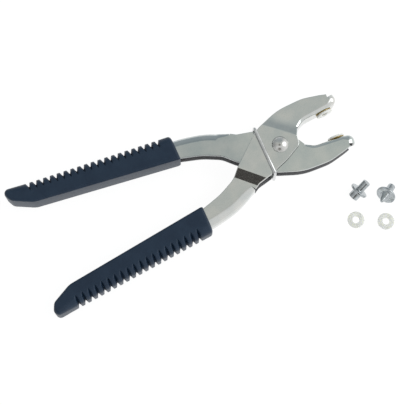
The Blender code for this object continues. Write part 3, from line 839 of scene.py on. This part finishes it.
def grip_stations(tail_x):
    """Places along the grip where its section is taken, each with its mouth rounding."""
    stations = []
    for k in range(MOUTH_STEPS + 1):
        angle = math.radians(90) * k / MOUTH_STEPS
        stations.append((GRIP_MOUTH_X - MOUTH_ROUND * (1 - math.cos(angle)), 1 - math.sin(angle)))
    stations.append((FIRST_GROOVE_X + 0.7 * GROOVE_PITCH, 0.0))
    for i in range(GROOVES * STEPS_PER_GROOVE + 1):
        stations.append((FIRST_GROOVE_X + GROOVE_PITCH * (0.5 - i / STEPS_PER_GROOVE), 0.0))
    last = FIRST_GROOVE_X - (GROOVES - 0.5) * GROOVE_PITCH
    tail_start = tail_x + TAIL_ROUND
    for k in range(1, BEHIND_STEPS + 1):
        stations.append((last + (tail_start - last) * k / BEHIND_STEPS, 0.0))
    for k in range(1, TAIL_STEPS + 1):
        angle = TAIL_ROUND_END * k / TAIL_STEPS
        stations.append((tail_x + TAIL_ROUND * (1 - math.sin(angle)), 0.0))
    return stations


def outline_span(points, x):
    """The lowest and highest y of an outline at x."""
    crossings = []
    for start, end in zip(points, points[1:] + points[:1]):
        if (start.x - x) * (end.x - x) <= 0.0 and start.x != end.x:
            crossings.append(start.y + (end.y - start.y) * (x - start.x) / (end.x - start.x))
    return min(crossings), max(crossings)


def grip_section(palm, inner, half, soft_palm, soft_inner, weight):
    """Section points (y, z) of a grip, in order round the section, grooved by weight."""
    angles = [math.radians(90) * k / CORNER_STEPS for k in range(CORNER_STEPS + 1)]
    positive = PALM_FLAT + [1 - PALM_CORNER_SHARE * (1 - math.sin(angle)) for angle in angles]
    fractions = [-f for f in reversed(positive[1:])] + positive
    palm_side = []
    for fraction in fractions:
        z = fraction * half
        into_corner = max(0.0, abs(z) - (half - soft_palm))
        crest = palm + soft_palm - math.sqrt(max(0.0, soft_palm ** 2 - into_corner ** 2))
        sag = (GROOVE_DEPTH_SIDE - GROOVE_DEPTH_MIDDLE) * fraction ** 2
        floor = palm + GROOVE_DEPTH_MIDDLE + sag
        palm_side.append((crest + weight * max(0.0, floor - crest), z))
    edge = palm_side[-1][0]
    side = [(edge + share * (inner - soft_inner - edge), half) for share in SIDE_SHARES]
    for angle in angles:
        inset_y = soft_inner * (1 - math.sin(angle))
        inset_z = soft_inner * (1 - math.cos(angle))
        side.append((inner - inset_y, half - inset_z))
    mirrored = [(y, -z) for y, z in reversed(side)]
    return palm_side + side + mirrored


def grip_rings(mesh_data, lever_half_width):
    """Rings of the sleeve: its hollow from the blind end out, then its skin to the tail."""
    lever_points = [point for point, _ in rounded_outline(LEVER_CORNERS)]
    room_half = lever_half_width + GRIP_CLEARANCE
    rings = []
    for x in ROOM_STATIONS:
        palm, inner = outline_span(lever_points, max(x, TANG_SECTION_X))
        palm -= GRIP_CLEARANCE
        inner += GRIP_CLEARANCE
        section = grip_section(palm, inner, room_half, HANDLE_FOLD, ROOM_INNER_CORNER, 0.0)
        rings.append([mesh_data.verts.new((x, y, z)) for y, z in section])
    outline = [point for point, _ in rounded_outline(GRIP_CORNERS)]
    tail_x = min(point.x for point in outline)
    for x, shrink in grip_stations(tail_x):
        into_tail = max(0.0, TAIL_ROUND - (x - tail_x))
        tail_rise = math.sqrt(TAIL_ROUND ** 2 - into_tail ** 2)
        half = GRIP_HALF_THICK - TAIL_ROUND + tail_rise - shrink * MOUTH_ROUND
        palm, inner = outline_span(outline, x)
        palm += shrink * MOUTH_ROUND
        inner -= shrink * MOUTH_ROUND_INNER
        soft_palm = min(GRIP_PALM_CORNER, CORNER_LIMIT * (inner - palm))
        soft_inner = min(GRIP_INNER_CORNER, CORNER_LIMIT * (inner - palm))
        section = grip_section(palm, inner, half, soft_palm, soft_inner, groove_weight(x))
        rings.append([mesh_data.verts.new((x, y, z)) for y, z in section])
    return rings


def make_grip(name, node, body, lever_width, side, material):
    """A sleeve with ribs on its palm side, hollow for the lever's tang."""
    mesh_data = bmesh.new()
    rings = grip_rings(mesh_data, lever_width / 2)
    for ring, ahead in zip(rings, rings[1:]):
        for i in range(len(ring)):
            j = (i + 1) % len(ring)
            mesh_data.faces.new((ring[i], ring[j], ahead[j], ahead[i]))
    mesh_data.faces.new(reversed(rings[0]))
    mesh_data.faces.new(rings[-1])
    grip = object_from_bmesh(name, mesh_data, math.radians(50))
    place = Matrix.Translation((0, 0, MID_Z * MM))
    if side < 0:
        place = place @ Matrix.Rotation(math.pi, 4, "X")
    grip.data.transform(place)
    finish_piece(grip, body, node, material)


# ---------------------------------------------------------------- die seats, dies and rings

def ring_corners(low):
    """Profile of a soft ring that starts at a height."""
    high = low + RING_THICK
    return [
        (RING_HOLE_R, low, 0.3), (RING_R, low, 0.35),
        (RING_R, high, 0.35), (RING_HOLE_R, high, 0.3)]


def make_die_seat(side_name, side, body, brass, plastic):
    """The brass socket through a jaw's web and the soft ring on its flange."""
    low = FACE_GAP
    high = FACE_GAP + SOCKET_FLANGE_THICK
    inner_end = -SHEET - SOCKET_REACH
    mesh_data = turned([
        (SOCKET_BORE_R, inner_end, 0.1), (SOCKET_BARREL_R, inner_end, 0.1),
        (SOCKET_BARREL_R, low, 0.0), (SOCKET_FLANGE_R, low, 0.1),
        (SOCKET_FLANGE_R, high, 0.1), (SOCKET_BORE_R, high, 0.1)])
    bmesh.ops.transform(mesh_data, matrix=seat_transform(side), verts=mesh_data.verts)
    socket = object_from_bmesh(side_name + "_die_socket_brass", mesh_data)
    finish_piece(socket, body, side_name + "_die_socket", brass)
    mesh_data = turned(ring_corners(high + FACE_GAP))
    bmesh.ops.transform(mesh_data, matrix=seat_transform(side), verts=mesh_data.verts)
    ring = object_from_bmesh(side_name + "_seat_ring_soft", mesh_data)
    finish_piece(ring, body, side_name + "_seat_ring", plastic)


def make_loose_ring(name, body, plastic):
    """A ring that lies flat where its CAD node does."""
    low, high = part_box(name)
    mesh_data = turned(ring_corners(0.0))
    ring = object_from_bmesh(name + "_soft", mesh_data)
    ring.location = ((low.x + high.x) / 2, (low.y + high.y) / 2, low.z)
    finish_piece(ring, body, name, plastic)


def lying_on_flange(lean, heading, flange_radius, place):
    """Where a turned body lies on its flange's rim: local +Z along heading, raised by lean."""
    centre = Vector((*place, flange_radius * math.cos(lean))) * MM
    turn = Matrix.Rotation(heading, 4, "Z")
    tilt = Matrix.Rotation(math.radians(90) - lean, 4, "Y")
    return Matrix.Translation(centre) @ turn @ tilt


def make_pin_die(material):
    """Cylindrical head, flange and stem with a dished end."""
    top = DIE_FLANGE_THICK
    end = top + PIN_STEM_LENGTH
    shoulder = PIN_HEAD_R + PIN_SHOULDER
    profile = [
        (0.0, -PIN_HEAD_LENGTH, 0.0), (PIN_HEAD_R, -PIN_HEAD_LENGTH, 0.15),
        (PIN_HEAD_R, -PIN_SHOULDER, 0.2), (shoulder, 0.1 - PIN_SHOULDER, 0.1),
        (shoulder, 0.0, 0.1), (PIN_FLANGE_R, 0.0, 0.35), (PIN_FLANGE_R, top, 0.35),
        (PIN_STEM_R, top, 0.3), (PIN_STEM_R, end, 0.2),
        (PIN_STEM_R - PIN_SHOULDER, end, 0.15), (0.0, end - PIN_DISH, 0.0)]
    die = object_from_bmesh("pin_die_turned", turned(profile))
    lean = math.atan((PIN_FLANGE_R - PIN_HEAD_R) / PIN_HEAD_LENGTH)
    die.data.transform(lying_on_flange(lean, PIN_DIE_HEADING, PIN_FLANGE_R, PIN_DIE_AT))
    finish_piece(die, "die_pin", "pin_die", material)


def make_cone_die(material):
    """Conical head, flange and stem."""
    top = DIE_FLANGE_THICK
    end = top + CONE_LENGTH
    profile = [
        (0.0, -CONE_STEM_LENGTH, 0.0), (CONE_STEM_R, -CONE_STEM_LENGTH, 0.3),
        (CONE_STEM_R, 0.0, 0.3), (CONE_FLANGE_R, 0.0, 0.35), (CONE_FLANGE_R, top, 0.35),
        (CONE_BASE_R, top, 0.3), (CONE_TIP_R, end, 0.45), (0.0, end, 0.0)]
    die = object_from_bmesh("cone_die_turned", turned(profile))
    lean = math.atan((CONE_FLANGE_R - CONE_STEM_R) / CONE_STEM_LENGTH)
    die.data.transform(lying_on_flange(lean, CONE_DIE_HEADING, CONE_FLANGE_R, CONE_DIE_AT))
    finish_piece(die, "die_cone", "cone_die", material)


# ---------------------------------------------------------------- studio

def make_floor():
    """Plain white paper that glows a little, so that it stays bright round the tool."""
    mesh_data = bmesh.new()
    bmesh.ops.create_circle(mesh_data, cap_ends=True, segments=64, radius=FLOOR_RADIUS)
    floor = object_from_bmesh("floor", mesh_data)
    floor.location.z = -FLOOR_DROP * MM
    material, _, shader, _ = new_material("floor_paper")
    shader.inputs["Base Color"].default_value = (FLOOR_GREY, FLOOR_GREY, FLOOR_GREY, 1.0)
    shader.inputs["Roughness"].default_value = 0.9
    shader.inputs["Specular IOR Level"].default_value = 0.1
    shader.inputs["Emission Color"].default_value = (1.0, 1.0, 1.0, 1.0)
    shader.inputs["Emission Strength"].default_value = FLOOR_GLOW
    floor.data.materials.append(material)


def direction_term(tree, place, direction):
    """How far a world direction points along a given one, from -1 to 1."""
    node = tree.nodes.new("ShaderNodeVectorMath")
    node.operation = "DOT_PRODUCT"
    node.inputs[1].default_value = direction.normalized()
    tree.links.new(place, node.inputs[0])
    return node.outputs["Value"]


def color_stops(tree, value, stops):
    """A colour ramp with its stops' places and colours."""
    node = tree.nodes.new("ShaderNodeValToRGB")
    elements = node.color_ramp.elements
    while len(elements) < len(stops):
        elements.new(0.5)
    for element, (position, color) in zip(elements, stops):
        element.position = position
        element.color = (*color, 1.0)
    tree.links.new(value, node.inputs["Fac"])
    return node.outputs["Color"]


def make_world():
    """A soft tent: white at the picture's lower and right sides, grey overhead, dusky beyond
    and at the left, with the dark shapes of a camera and a person on the lower side."""
    world = bpy.data.worlds.new("tent")
    bpy.context.scene.world = world
    world.use_nodes = True
    tree = world.node_tree
    background = tree.nodes["Background"]
    place = tree.nodes.new("ShaderNodeTexCoord").outputs["Generated"]
    upwards = remap(tree, direction_term(tree, place, PICTURE_UP), -1.0, 1.0, 0.0, 1.0)
    across = remap(tree, direction_term(tree, place, PICTURE_RIGHT), -1.0, 1.0, 0.0, 1.0)
    tent = color_stops(tree, upwards, TENT_STOPS)
    sides = color_stops(tree, across, SIDE_STOPS)
    side_cover = color_stops(tree, across, SIDE_COVER_STOPS)
    tent = mixed(tree, side_cover, tent, sides)
    for direction, outline, core, brightness in DARK_SHAPES:
        cover = remap(tree, direction_term(tree, place, direction), outline, core, 0.0, 1.0)
        tent = mixed(tree, cover, tent, tuple(brightness * part for part in DARK_TINT))
    tree.links.new(tent, background.inputs["Color"])
    background.inputs["Strength"].default_value = 1.0


def make_key_light():
    """A square soft lamp aimed at the middle of the view."""
    light = bpy.data.lights.new("key_light", "AREA")
    light.shape = "SQUARE"
    light.size = KEY_SIZE
    light.energy = KEY_POWER
    item = bpy.data.objects.new("key_light", light)
    bpy.context.scene.collection.objects.link(item)
    item.location = VIEW_TARGET + KEY_DIRECTION.normalized() * KEY_DISTANCE
    item.rotation_mode = "QUATERNION"
    item.rotation_quaternion = KEY_DIRECTION.to_track_quat("Z", "Y")


def make_camera():
    """A long lens that looks down at the tool, tilted a little towards the picture's top."""
    camera = bpy.data.cameras.new("camera")
    camera.sensor_width = 36.0
    camera.lens = camera.sensor_width * VIEW_DISTANCE / VIEW_WIDTH
    camera.clip_start = 0.01
    item = bpy.data.objects.new("camera", camera)
    bpy.context.scene.collection.objects.link(item)
    back = Vector((0, 0, 1)) * math.cos(VIEW_TILT) - PICTURE_UP * math.sin(VIEW_TILT)
    up = back.cross(PICTURE_RIGHT)
    item.matrix_world = Matrix((
        (PICTURE_RIGHT.x, up.x, back.x, VIEW_TARGET.x + back.x * VIEW_DISTANCE),
        (PICTURE_RIGHT.y, up.y, back.y, VIEW_TARGET.y + back.y * VIEW_DISTANCE),
        (PICTURE_RIGHT.z, up.z, back.z, VIEW_TARGET.z + back.z * VIEW_DISTANCE),
        (0.0, 0.0, 0.0, 1.0)))
    bpy.context.scene.camera = item


def make_studio():
    make_camera()
    make_world()
    make_floor()
    make_key_light()
    bpy.context.scene.view_settings.view_transform = "Standard"


def make_levers():
    outer = plated_sheet("outer_lever_plating", (0.67, 0.67, 0.645), math.radians(8))
    # The inner lever's plating carries painted shade on its handle.
    inner = plated_sheet(
        "inner_lever_plating", (0.64, 0.66, 0.635), math.radians(-8), INNER_HANDLE_PAINTED_SHADE)
    make_lever("outer_lever_sheet", "outer_lever", "outer", OUTER_WIDTH, 1, outer)
    make_lever("inner_lever_sheet", "inner_lever", "inner", INNER_WIDTH, -1, inner)


def make_hardware():
    rivet = plain_metal("rivet_plating", (0.68, 0.68, 0.66), 0.20, 0.28, (1.0, 1.0, 1.0), 0.004)
    washer = plain_metal("washer_steel", (0.62, 0.62, 0.60), 0.3, 0.4, (1.5, 1.5, 1.5), 0.006)
    spacer = plain_metal("spacer_steel", (0.55, 0.55, 0.54), 0.3, 0.45, (0.3, 0.3, 3.0), 0.006)
    wire = plain_metal("spring_wire", (0.72, 0.73, 0.73), 0.08, 0.16, (3.0, 0.15, 3.0), 0.004)
    make_pivot(rivet, washer, spacer)
    make_return_spring(wire)


def make_grips():
    lower = grip_plastic("lower_grip_plastic")
    upper = grip_plastic("upper_grip_plastic")
    make_grip("lower_grip_sleeve", "lower_grip", "outer", STEPPED_WIDTH, 1, lower)
    make_grip("upper_grip_sleeve", "upper_grip", "inner", INNER_WIDTH, -1, upper)


def make_seats_and_loose_pieces():
    brass = plain_metal("socket_brass", (0.66, 0.50, 0.22), 0.28, 0.42, (1.5, 1.5, 1.5), 0.004)
    nylon = clear_plastic("ring_nylon")
    zinc = turned_metal("die_zinc", (0.54, 0.58, 0.60), 0.12, 0.26)
    make_die_seat("upper", 1, "outer", brass, nylon)
    make_die_seat("lower", -1, "inner", brass, nylon)
    make_pin_die(zinc)
    make_cone_die(zinc)
    make_loose_ring("loose_ring_a", "ring_a", nylon)
    make_loose_ring("loose_ring_b", "ring_b", nylon)


make_studio()
make_levers()
make_hardware()
make_grips()
make_seats_and_loose_pieces()
